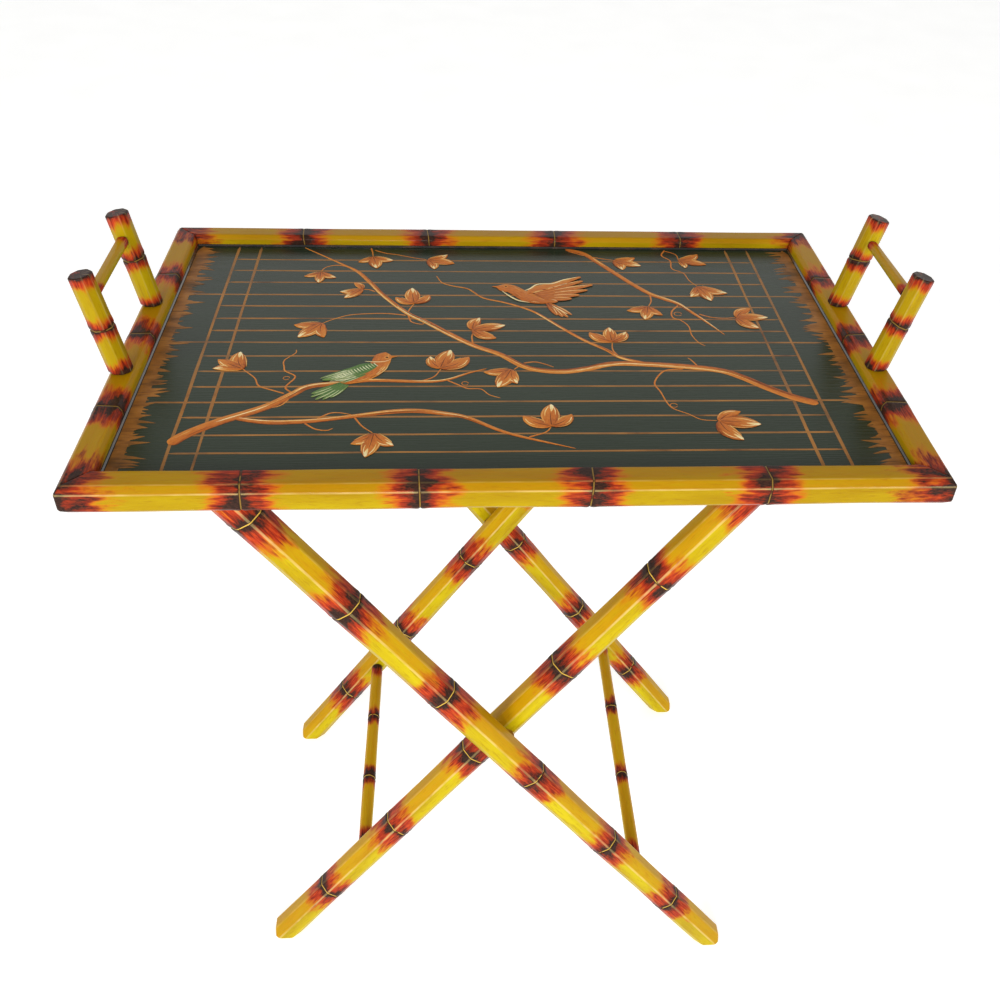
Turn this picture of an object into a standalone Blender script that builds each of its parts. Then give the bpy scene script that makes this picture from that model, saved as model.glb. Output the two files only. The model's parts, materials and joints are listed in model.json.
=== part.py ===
"""Faux-bamboo butler's tray on a folding X stand.

World frame: X along the tray's long side, Y from front to back, Z up. The origin is on the floor,
under the middle of the tray. The outer frame of the stand is fixed, the inner frame turns about
the pivot line (along Y) and the tray lifts straight up. Every length is in metres.
"""

import math

import bmesh
import bpy
from mathutils import Matrix, Vector

# Gaps between touching pieces
FIT = 0.0003

# Tray, over the widest line of its rails
TRAY_W = 0.660
TRAY_D = 0.4456
RIM_Z = 0.708

# Rail section, measured inwards from the outer face and up from the underside
RAIL_W = 0.024
RAIL_H = 0.0245
TOP_CHAMFER_W = 0.0045
TOP_CHAMFER_H = 0.0057
LOW_CHAMFER = 0.005
INNER_CHAMFER_W = 0.0025
INNER_CHAMFER_H = 0.004
REBATE_W = 0.006

# Panel and the slip bead around it
PANEL_RECESS = 0.011
PANEL_T = 0.006
BEAD_W = 0.002
BEAD_H = 0.0018

# Hidden corner splines, lying flat across each mitre
SPLINE_ACROSS = 0.012
SPLINE_ALONG = 0.008
SPLINE_T = 0.003
SPLINE_INSET = 0.0095
SPLINE_UP = 0.0105

# Handles: two leaning posts and a bar on each short rail. The hand-set pair differ a little:
# side -> (posts' X, Y of the pair's middle, outward lean)
POST_SIZE = 0.0184
HANDLES = {"left": (-0.318, -0.004, math.radians(-9.3)), "right": (0.3165, 0.0, math.radians(13.3))}
POST_Y = 0.058
POST_RISE = 0.0845
BAR_RISE = 0.0635
BAR_W = 0.009
BAR_H = 0.008
BAR_CHAMFER = 0.0018
BAR_TENON_R = 0.003
BAR_TENON_L = 0.006

# Cleats under the panel, outside the tops of the legs
CLEAT_W = 0.020
CLEAT_H = 0.014
CLEAT_LENGTH = 0.400
CLEAT_SCREW_Y = 0.130

# Stand
STAND_X = -0.0044
PIVOT_Z = 0.3562
LEG_ANGLE = math.atan(0.6987)
LEG_SIZE = 0.0295
LEG_GAP = 0.0016
OUTER_LEG_Y = 0.1788
INNER_LEG_Y = OUTER_LEG_Y - LEG_SIZE - LEG_GAP
FOOT_TRIM = 0.0065

TOP_RAIL_SIZE = 0.022
TOP_RAIL_UP = 0.376
TOP_TENON_R = 0.006
TOP_TENON_L = 0.014
STRETCHER_SIZE = 0.0135
STRETCHER_DOWN = 0.261
STRETCHER_TENON_R = 0.0045
STRETCHER_TENON_L = 0.012

PIN_R = 0.004
PIN_REACH = 0.018
WASHER_R = 0.011
WASHER_T = LEG_GAP - 2 * FIT

# Wood screws: shank radius, head radius, head height
POST_SCREW = (0.002, 0.004, 0.0025)
POST_SCREW_REACH = 0.022
POST_SCREW_X = 0.318
CLEAT_SCREW = (0.0015, 0.0032, 0.002)
CLEAT_SCREW_REACH = 0.0045

# Eased edges
LEG_EDGE = 0.0012
RAIL_EDGE = 0.0009
SMALL_EDGE = 0.0004

# Places worked out from the sizes above
RAIL_Z = RIM_Z - RAIL_H
PANEL_TOP = RIM_Z - PANEL_RECESS
PANEL_UNDER = PANEL_TOP - PANEL_T
LEG_TOP_Z = PANEL_UNDER - FIT
LEG_SIN = math.sin(LEG_ANGLE)
LEG_COS = math.cos(LEG_ANGLE)
LEG_HALF_CUT = LEG_SIZE / 2 / LEG_COS
CLEAT_FACE_X = (LEG_TOP_Z - PIVOT_Z) * math.tan(LEG_ANGLE) + LEG_HALF_CUT - FOOT_TRIM + 2 * FIT


# ---------------------------------------------------------------- scene and materials

def clear_scene():
    for old in list(bpy.data.objects):
        bpy.data.objects.remove(old, do_unlink=True)


def material(name, colour, roughness, metallic=0.0):
    made = bpy.data.materials.new(name)
    made.use_nodes = True
    shader = made.node_tree.nodes["Principled BSDF"]
    shader.inputs["Base Color"].default_value = (*colour, 1.0)
    shader.inputs["Roughness"].default_value = roughness
    shader.inputs["Metallic"].default_value = metallic
    return made


def empty(name, location):
    made = bpy.data.objects.new(name, None)
    made.location = location
    bpy.context.scene.collection.objects.link(made)
    return made


# ---------------------------------------------------------------- shapes

def octagon(width, height, chamfer):
    """Points of a chamfered rectangle centred on the origin, anticlockwise."""
    x, y = width / 2, height / 2
    return [(x, -y + chamfer), (x, y - chamfer), (x - chamfer, y), (-x + chamfer, y),
            (-x, y - chamfer), (-x, -y + chamfer), (-x + chamfer, -y), (x - chamfer, -y)]


def regular_octagon(size):
    return octagon(size, size, size * (1 - math.sqrt(0.5)))


def prism(outline, low, high):
    """A bmesh prism: the outline lies in local X-Y and runs from low to high along local Z."""
    bm = bmesh.new()
    corners = [bm.verts.new((x, y, low)) for x, y in outline]
    base = bm.faces.new(corners)
    swept = bmesh.ops.extrude_face_region(bm, geom=[base])
    moved = [item for item in swept["geom"] if isinstance(item, bmesh.types.BMVert)]
    bmesh.ops.translate(bm, verts=moved, vec=(0, 0, high - low))
    bmesh.ops.recalc_face_normals(bm, faces=bm.faces)
    return bm


def slice_off(bm, point, normal):
    """Cuts away what lies beyond the plane, and closes the cut."""
    geometry = list(bm.verts) + list(bm.edges) + list(bm.faces)
    cut = bmesh.ops.bisect_plane(bm, geom=geometry, plane_co=point, plane_no=normal, clear_outer=True)
    rim = [item for item in cut["geom_cut"] if isinstance(item, bmesh.types.BMEdge)]
    bmesh.ops.edgenet_fill(bm, edges=rim)
    bmesh.ops.recalc_face_normals(bm, faces=bm.faces)


def turned(profile, sides):
    """A bmesh solid turned about local Z from (radius, z) points that start and end on the axis."""
    bm = bmesh.new()
    verts = [bm.verts.new((radius, 0, z)) for radius, z in profile]
    edges = [bm.edges.new(pair) for pair in zip(verts, verts[1:])]
    bmesh.ops.spin(bm, geom=verts + edges, cent=(0, 0, 0), axis=(0, 0, 1),
                   angle=math.tau, steps=sides, use_duplicate=False)
    bmesh.ops.remove_doubles(bm, verts=bm.verts, dist=1e-6)
    bmesh.ops.recalc_face_normals(bm, faces=bm.faces)
    return bm


def rod_profile(radius, low, high):
    return [(0, low), (radius, low), (radius, high), (0, high)]


def add_node(name, bm, matrix, parent, look, edge=0.0):
    """Makes the object, places it by its world matrix under its parent, and eases its edges."""
    mesh = bpy.data.meshes.new(name)
    bm.to_mesh(mesh)
    bm.free()
    mesh.materials.append(look)
    mesh.shade_smooth()
    mesh.set_sharp_from_angle(angle=math.radians(30))
    made = bpy.data.objects.new(name, mesh)
    bpy.context.scene.collection.objects.link(made)
    if parent:
        made.parent = parent
        made.matrix_basis = Matrix.Translation(parent.location).inverted() @ matrix
    else:
        made.matrix_basis = matrix
    if edge:
        bevel = made.modifiers.new("eased_edges", "BEVEL")
        bevel.width = edge
        bevel.segments = 2
        bevel.limit_method = "ANGLE"
        bevel.angle_limit = math.radians(30)
    return made


def cutter(name, bm, matrix):
    made = add_node(name, bm, matrix, None, CUTTER)
    made.hide_render = True
    made.display_type = "WIRE"
    return made


def cut_by(target, tool):
    boolean = target.modifiers.new(tool.name, "BOOLEAN")
    boolean.operation = "DIFFERENCE"
    boolean.solver = "EXACT"
    boolean.object = tool


def at(x, y, z):
    return Matrix.Translation((x, y, z))


def turn(angle, axis):
    return Matrix.Rotation(angle, 4, axis)


# Local Z turned to run along world Y or world X
ALONG_Y = turn(math.radians(-90), "X")
ALONG_X = turn(math.radians(90), "Y")


# ---------------------------------------------------------------- tray

def rail_outline():
    """Rail section as (inwards, up), with the rebate for the panel on its lower inner side."""
    ledge = RAIL_H - PANEL_RECESS + FIT
    back = RAIL_W - REBATE_W
    return [(LOW_CHAMFER, 0), (back, 0), (back, ledge), (RAIL_W, ledge),
            (RAIL_W, RAIL_H - INNER_CHAMFER_H), (RAIL_W - INNER_CHAMFER_W, RAIL_H),
            (TOP_CHAMFER_W, RAIL_H), (0, RAIL_H - TOP_CHAMFER_H), (0, LOW_CHAMFER)]


def mitred(outline, length, gap):
    """Sweeps (inwards, up) points along X and mitres both ends, longest at inwards = 0."""
    bm = prism(outline, -length / 2, length / 2)
    swap = Matrix(((0, 0, 1, 0), (1, 0, 0, 0), (0, 1, 0, 0), (0, 0, 0, 1)))
    bmesh.ops.transform(bm, matrix=swap, verts=bm.verts)
    for side in (-1, 1):
        slice_off(bm, Vector((side * (length / 2 - gap), 0, 0)), Vector((side, 1, 0)).normalized())
    return bm


# Each side of the tray: its turn about Z, which carries "inwards" from +Y, and its outer size
SIDES = {
    "front": (0.0, TRAY_W, TRAY_D),
    "right": (90.0, TRAY_D, TRAY_W),
    "back": (180.0, TRAY_W, TRAY_D),
    "left": (-90.0, TRAY_D, TRAY_W),
}
CORNERS = {"front_left": (-1, -1), "front_right": (1, -1), "back_left": (-1, 1), "back_right": (1, 1)}
POSTS = {"left_front": (-1, -1), "left_back": (-1, 1), "right_front": (1, -1), "right_back": (1, 1)}


def side_matrix(side, inset, z):
    angle, _, across = SIDES[side]
    return turn(math.radians(angle), "Z") @ at(0, inset - across / 2, z)


def make_rails(tray):
    rails = {}
    for side, (_, length, _) in SIDES.items():
        bm = mitred(rail_outline(), length, FIT * math.sqrt(0.5))
        rails[side] = add_node(f"rail_{side}", bm, side_matrix(side, 0, RAIL_Z), tray, BAMBOO, RAIL_EDGE)
    return rails


def make_beads(tray):
    """Slim moulding on the panel's edge, flat below and against the rail, with a sloped inner face."""
    inset = RAIL_W + FIT
    section = [(0, 0), (BEAD_W, 0), (BEAD_W, BEAD_H / 3), (BEAD_W / 2, BEAD_H), (0, BEAD_H)]
    for side, (_, length, _) in SIDES.items():
        bm = mitred(section, length - 2 * inset, FIT * math.sqrt(0.5))
        add_node(f"bead_{side}", bm, side_matrix(side, inset, PANEL_TOP + FIT), tray, LACQUER)


def make_splines(tray, rails):
    """Loose tongues across the mitres, and the slots they sit in."""
    for corner, (sx, sy) in CORNERS.items():
        centre = at(sx * (TRAY_W / 2 - SPLINE_INSET), sy * (TRAY_D / 2 - SPLINE_INSET), RAIL_Z + SPLINE_UP)
        place = centre @ turn(math.radians(-45 * sx * sy), "Z")
        plate = octagon(SPLINE_ACROSS, SPLINE_ALONG, 0.001)
        slot = octagon(SPLINE_ACROSS + 2 * FIT, SPLINE_ALONG + 2 * FIT, 0.001)
        add_node(f"corner_spline_{corner}", prism(plate, -SPLINE_T / 2, SPLINE_T / 2), place, tray, RAW_WOOD)
        hole = cutter(f"cut_spline_{corner}", prism(slot, -SPLINE_T / 2 - FIT, SPLINE_T / 2 + FIT), place)
        end, flank = corner.split("_")
        cut_by(rails[end], hole)
        cut_by(rails[flank], hole)


def make_panel(tray):
    margin = RAIL_W - REBATE_W + FIT
    outline = octagon(TRAY_W - 2 * margin, TRAY_D - 2 * margin, 0.002)
    return add_node("tray_panel", prism(outline, 0, PANEL_T), at(0, 0, PANEL_UNDER), tray, LACQUER)


def screw_profile(size, length, play=0.0):
    """A countersunk screw or its hole, head down at z = 0 and point up."""
    shank, head, head_height = size
    tip = 0.0 if play else length * 0.15
    return [(0, -play), (head + play, -play), (shank + play, head_height + play),
            (shank + play, length - tip), (0, length + play)]


def make_screw(name, size, length, x, y, z, tray, targets):
    add_node(name, turned(screw_profile(size, length), 16), at(x, y, z), tray, STEEL)
    hole = cutter(f"cut_{name}", turned(screw_profile(size, length, FIT), 16), at(x, y, z))
    for target in targets:
        cut_by(target, hole)


def make_handles(tray, rails):
    """Leaning posts cut level at the foot and square at the top, with a bar tenoned between them."""
    for side, (x, middle, angle) in HANDLES.items():
        lean = turn(angle, "Y")
        posts = {}
        for end, sy in (("front", -1), ("back", 1)):
            y = middle + sy * POST_Y
            place = at(x, y, RIM_Z + FIT) @ lean
            bm = prism(regular_octagon(POST_SIZE), -POST_SIZE, POST_RISE / math.cos(angle))
            slice_off(bm, Vector((0, 0, 0)), lean.to_3x3().inverted() @ Vector((0, 0, -1)))
            posts[end] = add_node(f"handle_post_{side}_{end}", bm, place, tray, BAMBOO, LEG_EDGE)
            make_screw(f"post_screw_{side}_{end}", POST_SCREW, RAIL_H + POST_SCREW_REACH,
                       math.copysign(POST_SCREW_X, x), y, RAIL_Z, tray, (rails[side], posts[end]))
        make_handle_bar(side, posts, tray)


def make_handle_bar(side, posts, tray):
    x, middle, angle = HANDLES[side]
    half = POST_Y - POST_SIZE / 2 - FIT
    place = at(x, middle, RIM_Z + FIT) @ turn(angle, "Y") @ at(0, 0, BAR_RISE / math.cos(angle)) @ ALONG_Y
    bar = prism(octagon(BAR_W, BAR_H, BAR_CHAMFER), -half, half)
    made = add_node(f"handle_bar_{side}", bar, place, tray, BAMBOO, SMALL_EDGE)
    reach = half + BAR_TENON_L
    join_to(made, cutter(f"join_bar_{side}", turned(rod_profile(BAR_TENON_R, -reach, reach), 16), place))
    reach += FIT
    hole = cutter(f"cut_bar_{side}", turned(rod_profile(BAR_TENON_R + FIT, -reach, reach), 16), place)
    for post in posts.values():
        cut_by(post, hole)


def join_to(target, tool):
    boolean = target.modifiers.new(tool.name, "BOOLEAN")
    boolean.operation = "UNION"
    boolean.solver = "EXACT"
    boolean.object = tool


def make_cleats(tray, panel):
    """Battens screwed under the panel, against the outer sides of the leg tops."""
    for side, sign in (("left", -1), ("right", 1)):
        x = STAND_X + sign * (CLEAT_FACE_X + CLEAT_W / 2)
        z = PANEL_UNDER - FIT - CLEAT_H
        outline = octagon(CLEAT_W, CLEAT_LENGTH, 0.002)
        cleat = add_node(f"cleat_{side}", prism(outline, 0, CLEAT_H), at(x, 0, z), tray, DARK_WOOD)
        for end, sy in (("front", -1), ("back", 1)):
            make_screw(f"cleat_screw_{side}_{end}", CLEAT_SCREW, CLEAT_H + CLEAT_SCREW_REACH,
                       x, sy * CLEAT_SCREW_Y, z, tray, (cleat, panel))


# ---------------------------------------------------------------- stand

def leg_blank(tilt):
    """An octagonal leg about its pivot, cut level at the floor and under the panel.

    The sharp outer corner of each cut is trimmed upright."""
    reach = LEG_TOP_Z
    bm = prism(regular_octagon(LEG_SIZE), -reach, reach)
    to_local = tilt.to_3x3().inverted()
    out = 1.0 if (tilt @ Vector((0, 0, 1))).x > 0 else -1.0
    for height, up in ((-PIVOT_Z, -1.0), (LEG_TOP_Z - PIVOT_Z, 1.0)):
        slice_off(bm, to_local @ Vector((0, 0, height)), to_local @ Vector((0, 0, up)))
        corner = abs(height) * math.tan(LEG_ANGLE) + LEG_HALF_CUT - FOOT_TRIM
        slice_off(bm, to_local @ Vector((up * out * corner, 0, 0)), to_local @ Vector((up * out, 0, 0)))
    return bm


def make_legs(frame, kind, tilt, leg_y):
    legs = {}
    for end, sy in (("front", -1), ("back", 1)):
        place = at(STAND_X, sy * leg_y, PIVOT_Z) @ tilt
        legs[end] = add_node(f"{kind}_leg_{end}", leg_blank(tilt), place, frame, BAMBOO, LEG_EDGE)
    return legs


def cross_rail(name, frame, tilt, along, size, leg_y, tenon_r, tenon_l, legs):
    """An octagonal rail between the two legs of a frame, tenoned into their inner faces."""
    half = leg_y - LEG_SIZE / 2 - FIT
    place = at(STAND_X, 0, PIVOT_Z) @ tilt @ at(0, 0, along) @ ALONG_Y
    made = add_node(name, prism(regular_octagon(size), -half, half), place, frame, BAMBOO, SMALL_EDGE)
    tenon = cutter(f"join_{name}", turned(rod_profile(tenon_r, -half - tenon_l, half + tenon_l), 24), place)
    join_to(made, tenon)
    reach = half + tenon_l + FIT
    hole = cutter(f"cut_{name}", turned(rod_profile(tenon_r + FIT, -reach, reach), 24), place)
    for leg in legs.values():
        cut_by(leg, hole)


def make_pivots(outer_frame, outer_legs, inner_legs):
    """Blind steel pins from each outer leg into the inner leg beside it, and a washer between."""
    middle = (OUTER_LEG_Y + INNER_LEG_Y) / 2
    half = LEG_GAP / 2 + PIN_REACH
    ring = [(PIN_R + 2 * FIT, -WASHER_T / 2), (WASHER_R, -WASHER_T / 2),
            (WASHER_R, WASHER_T / 2), (PIN_R + 2 * FIT, WASHER_T / 2)]
    for end, sy in (("front", -1), ("back", 1)):
        place = at(STAND_X, sy * middle, PIVOT_Z) @ ALONG_Y
        add_node(f"pivot_pin_{end}", turned(rod_profile(PIN_R, -half, half), 32), place, outer_frame, STEEL)
        add_node(f"pivot_washer_{end}", turned(ring + ring[:1], 32), place, outer_frame, BRASS)
        hole = cutter(f"cut_pivot_{end}", turned(rod_profile(PIN_R + FIT, -half - FIT, half + FIT), 32), place)
        cut_by(outer_legs[end], hole)
        cut_by(inner_legs[end], hole)


def make_frame(frame, kind, tilt, leg_y):
    legs = make_legs(frame, kind, tilt, leg_y)
    cross_rail(f"{kind}_top_rail", frame, tilt, TOP_RAIL_UP, TOP_RAIL_SIZE, leg_y,
               TOP_TENON_R, TOP_TENON_L, legs)
    cross_rail(f"{kind}_stretcher", frame, tilt, -STRETCHER_DOWN, STRETCHER_SIZE, leg_y,
               STRETCHER_TENON_R, STRETCHER_TENON_L, legs)
    return legs


clear_scene()

BAMBOO = material("bamboo_paint", (0.62, 0.38, 0.03), 0.22)
LACQUER = material("black_lacquer", (0.012, 0.015, 0.013), 0.15)
RAW_WOOD = material("raw_wood", (0.50, 0.34, 0.19), 0.6)
DARK_WOOD = material("dark_wood", (0.030, 0.020, 0.014), 0.4)
STEEL = material("steel", (0.55, 0.55, 0.56), 0.35, 1.0)
BRASS = material("brass", (0.70, 0.50, 0.20), 0.3, 1.0)
CUTTER = material("cutter", (1.0, 0.0, 0.0), 0.5)

pivot = (STAND_X, 0, PIVOT_Z)
outer_frame = empty("outer_frame", pivot)
inner_frame = empty("inner_frame", pivot)
tray = empty("tray", (0, 0, RAIL_Z))

tray_rails = make_rails(tray)
make_beads(tray)
make_splines(tray, tray_rails)
tray_panel = make_panel(tray)
make_handles(tray, tray_rails)
make_cleats(tray, tray_panel)

outer_legs = make_frame(outer_frame, "outer", turn(-LEG_ANGLE, "Y"), OUTER_LEG_Y)
inner_legs = make_frame(inner_frame, "inner", turn(LEG_ANGLE, "Y"), INNER_LEG_Y)
make_pivots(outer_frame, outer_legs, inner_legs)
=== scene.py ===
"""Looks for the faux-bamboo butler's tray on its folding stand.

The frame is the CAD's: X along the tray, Y from front to back, Z up, in metres. The painted
decoration is laid out in millimetres on the panel, measured from the middle of the tray.
"""

import json
import math
import random

import bpy
import numpy as np
from mathutils import Matrix, Vector


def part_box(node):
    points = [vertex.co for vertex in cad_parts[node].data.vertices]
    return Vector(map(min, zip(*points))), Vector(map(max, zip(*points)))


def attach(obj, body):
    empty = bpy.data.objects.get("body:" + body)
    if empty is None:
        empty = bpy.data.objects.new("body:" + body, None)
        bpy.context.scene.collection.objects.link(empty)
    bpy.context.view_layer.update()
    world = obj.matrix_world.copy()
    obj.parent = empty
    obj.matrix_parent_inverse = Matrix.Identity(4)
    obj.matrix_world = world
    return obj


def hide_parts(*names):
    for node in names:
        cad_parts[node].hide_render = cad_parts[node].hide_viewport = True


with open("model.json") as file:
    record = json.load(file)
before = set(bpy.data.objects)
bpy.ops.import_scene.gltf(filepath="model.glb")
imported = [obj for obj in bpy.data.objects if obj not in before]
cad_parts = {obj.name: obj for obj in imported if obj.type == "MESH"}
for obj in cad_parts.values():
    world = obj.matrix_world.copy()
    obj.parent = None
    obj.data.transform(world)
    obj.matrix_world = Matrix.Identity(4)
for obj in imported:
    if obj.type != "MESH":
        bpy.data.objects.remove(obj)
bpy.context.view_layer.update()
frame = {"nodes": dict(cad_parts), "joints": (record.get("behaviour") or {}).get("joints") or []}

MM = 0.001

# ---- sizes, from the frame ----
RAIL_LOW, RAIL_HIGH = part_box("rail_front")
TRAY_W = RAIL_HIGH.x - RAIL_LOW.x
TRAY_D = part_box("rail_back")[1].y - RAIL_LOW.y
RAIL_H = RAIL_HIGH.z - RAIL_LOW.z
RAIL_W = RAIL_HIGH.y - RAIL_LOW.y
RIM_Z = RAIL_HIGH.z
PANEL_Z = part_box("tray_panel")[1].z
FIT = 0.0003

# Rail section, as in the CAD
TOP_CHAMFER_W = 0.0045
TOP_CHAMFER_H = 0.0057
LOW_CHAMFER = 0.005
INNER_CHAMFER_W = 0.0025
INNER_CHAMFER_H = 0.004
REBATE_W = 0.006
RAIL_CENTRE = (0.012, 0.017)

# Handles, as in the CAD; for each side (posts' X, Y of the pair's middle, lean about Y)
POST_SIZE = 0.0184
HANDLES = {"left": (-0.318, -0.004, math.radians(-9.3)), "right": (0.3165, 0.0, math.radians(13.3))}
POST_Y = 0.058
POST_RISE = 0.0845
BAR_RISE = 0.0635
BAR_W = 0.009
BAR_H = 0.008

# Stand
PIVOT = Vector(next(j for j in frame["joints"] if j["name"] == "stand_fold")["pos_m"])
LEG_ANGLE = math.atan(0.6987)
LEG_LOW, LEG_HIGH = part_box("outer_leg_front")
LEG_SIZE = LEG_HIGH.y - LEG_LOW.y
LEG_TOP_Z = LEG_HIGH.z
OUTER_LEG_Y = -(LEG_LOW.y + LEG_HIGH.y) / 2
INNER_LEG_Y = -(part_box("inner_leg_front")[0].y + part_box("inner_leg_front")[1].y) / 2
FOOT_TRIM = 0.0065
TOP_RAIL_SIZE = 0.022
TOP_RAIL_UP = 0.376
STRETCHER_SIZE = 0.0135
STRETCHER_DOWN = 0.261


# ---- node materials ----

NOISE_SOCKETS = ("Vector", "Scale", "Detail", "Roughness")
RANGE_SOCKETS = ("From Min", "From Max", "To Min", "To Max")
NOISE_LOW = 0.3
NOISE_HIGH = 0.7
PAINT_GLOSS = 0.08


class Nodes:
    """Short calls for building one material's node tree."""

    def __init__(self, name):
        self.material = bpy.data.materials.new(name)
        self.material.use_nodes = True
        self.tree = self.material.node_tree
        self.shader = self.tree.nodes["Principled BSDF"]

    def add(self, kind, **values):
        node = self.tree.nodes.new(kind)
        for key, value in values.items():
            setattr(node, key, value)
        return node

    def put(self, value, socket):
        if isinstance(value, bpy.types.NodeSocket):
            self.tree.links.new(value, socket)
        else:
            socket.default_value = value

    def math(self, operation, a, b, clamp=False):
        node = self.add("ShaderNodeMath", operation=operation, use_clamp=clamp)
        self.put(a, node.inputs[0])
        self.put(b, node.inputs[1])
        return node.outputs[0]

    def total(self, value, *others):
        for other in others:
            value = self.math("ADD", value, other)
        return value

    def times(self, a, b):
        return self.math("MULTIPLY", a, b)

    def spread(self, value, amount):
        """The noise centred on zero and scaled."""
        return self.times(self.math("SUBTRACT", value, 0.5), amount)

    def attribute(self, name, output="Fac"):
        return self.add("ShaderNodeAttribute", attribute_name=name).outputs[output]

    def place(self):
        return self.add("ShaderNodeTexCoord").outputs["Object"]

    def noise(self, vector, scale, detail, squash=None, roughness=0.55):
        """Noise over the vector, drawn out along the axes that squash makes small."""
        if squash:
            mapping = self.add("ShaderNodeMapping")
            self.put(vector, mapping.inputs["Vector"])
            mapping.inputs["Scale"].default_value = squash
            vector = mapping.outputs[0]
        node = self.add("ShaderNodeTexNoise")
        for socket, value in zip(NOISE_SOCKETS, (vector, scale, detail, roughness)):
            self.put(value, node.inputs[socket])
        return node.outputs[0]

    def fade(self, value, low, high, out_low=0.0, out_high=1.0):
        """Smooth step from out_low at low to out_high at high."""
        node = self.add("ShaderNodeMapRange", interpolation_type="SMOOTHSTEP")
        self.put(value, node.inputs["Value"])
        for socket, number in zip(RANGE_SOCKETS, (low, high, out_low, out_high)):
            node.inputs[socket].default_value = number
        return node.outputs[0]

    def mix(self, factor, a, b):
        node = self.add("ShaderNodeMix", data_type="RGBA")
        self.put(factor, node.inputs[0])
        for colour, socket in ((a, node.inputs[6]), (b, node.inputs[7])):
            self.put((*colour, 1.0) if isinstance(colour, tuple) else colour, socket)
        return node.outputs[2]

    def ramp(self, factor, *stops):
        node = self.add("ShaderNodeValToRGB")
        self.put(factor, node.inputs[0])
        elements = node.color_ramp.elements
        while len(elements) < len(stops):
            elements.new(0.5)
        for element, (position, colour) in zip(elements, stops):
            element.position = position
            element.color = (*colour, 1.0)
        return node.outputs[0]

    def set(self, **values):
        for key, value in values.items():
            self.put(value, self.shader.inputs[key.replace("_", " ")])

    def finish(self, colour, roughness, height, strength, distance, **values):
        """Wires the shader and gives the material. roughness is (noise, smoothest, roughest)."""
        noise, smoothest, roughest = roughness
        sheen = self.fade(noise, NOISE_LOW, NOISE_HIGH, smoothest, roughest)
        self.set(Base_Color=colour, Roughness=sheen, **values)
        bump = self.add("ShaderNodeBump")
        for socket, value in (("Strength", strength), ("Distance", distance), ("Height", height)):
            self.put(value, bump.inputs[socket])
        self.put(bump.outputs[0], self.shader.inputs["Normal"])
        return self.material


def bamboo_paint():
    """Ochre ground with lengthwise graining, red flames and a black band at each node, under varnish."""
    n = Nodes("bamboo_paint")
    rod = n.attribute("rod", "Vector")
    hair, streak, speck, broad, blotch = (
        n.noise(rod, scale, detail, (1.0, 1.0, along))
        for scale, detail, along in ((1300.0, 3.0, 0.05), (620.0, 3.0, 0.13), (950.0, 2.0, 0.40),
                                     (120.0, 2.0, 0.35), (60.0, 2.0, 0.15)))
    upward, deep, ring_distance = (n.attribute(name) for name in ("upward", "deep", "ring_distance"))

    ground = n.ramp(blotch, (0.30, (0.37, 0.240, 0.002)), (0.50, (0.46, 0.335, 0.003)),
                    (0.70, (0.54, 0.425, 0.004)))
    ground = n.mix(n.fade(streak, 0.52, 0.72, 0.0, 0.40), ground, (0.25, 0.110, 0.003))
    ground = n.mix(n.fade(hair, 0.55, 0.75, 0.0, 0.40), ground, (0.64, 0.460, 0.012))
    # Painted shade: facets that face up are mixed towards a darker brown, standing in for the shade on them.
    painted_top_shade = n.times(n.fade(upward, 0.05, 0.45, 0.0, 0.62), n.fade(hair, 0.35, 0.60, 0.6, 1.0))
    ground = n.mix(painted_top_shade, ground, (0.58, 0.235, 0.003))
    ground = n.mix(deep, ground, (0.25, 0.115, 0.001))

    ragged = n.total(n.spread(hair, 0.50), n.spread(streak, 0.50), n.spread(broad, 1.5))
    red_reach = n.total(n.attribute("red_reach"), ragged)
    brush = n.ramp(n.total(n.spread(hair, 0.8), streak),
                   (0.30, (0.15, 0.010, 0.006)), (0.48, (0.36, 0.022, 0.008)), (0.70, (0.52, 0.055, 0.012)))
    colour = n.mix(n.fade(red_reach, 1.20, 0.72, 0.0, 0.80), ground, (0.52, 0.120, 0.006))
    colour = n.mix(n.fade(red_reach, 0.98, 0.50, 0.0, 0.95), colour, brush)

    sooty = n.total(n.spread(speck, 1.4), n.spread(streak, 1.2), n.spread(broad, 5.2))
    black_reach = n.total(n.attribute("black_reach"), sooty)
    colour = n.mix(n.fade(black_reach, 2.2, 0.7, 0.0, 0.68), colour, (0.085, 0.014, 0.007))
    soot = n.ramp(speck, (0.35, (0.013, 0.010, 0.008)), (0.75, (0.055, 0.024, 0.015)))
    colour = n.mix(n.fade(black_reach, 1.10, 0.30, 0.0, 0.95), colour, soot)

    # Painted highlight: a pale line along the creases that face a little up, fainter on the most upturned
    # ones and broken up by noise.
    ridge = n.times(n.fade(n.attribute("crease"), 0.0, 0.9), n.fade(upward, -0.05, 0.15))
    ridge = n.times(ridge, n.fade(upward, 0.38, 0.52, 1.0, 0.35))
    crease_highlight = n.times(ridge, n.fade(broad, 0.38, 0.62, 0.16, 0.40))
    colour = n.mix(crease_highlight, colour, (0.78, 0.60, 0.24))

    colour = n.mix(n.fade(ring_distance, 1.30, 0.75, 0.0, 0.85), colour, (0.020, 0.010, 0.006))
    gold = n.mix(n.fade(broad, 0.56, 0.66), (0.66, 0.42, 0.070), (0.10, 0.045, 0.014))
    gold = n.mix(n.fade(deep, 0.05, 0.24, 0.0, 0.72), gold, (0.075, 0.026, 0.010))
    colour = n.mix(n.fade(ring_distance, 0.62, 0.34), colour, gold)
    return n.finish(colour, (blotch, 0.30, 0.42), n.total(n.times(speck, 0.5), streak), 0.22, 0.0006,
                    Specular_IOR_Level=0.04, Coat_Weight=0.07, Coat_Roughness=0.08, Coat_IOR=1.5)


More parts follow.
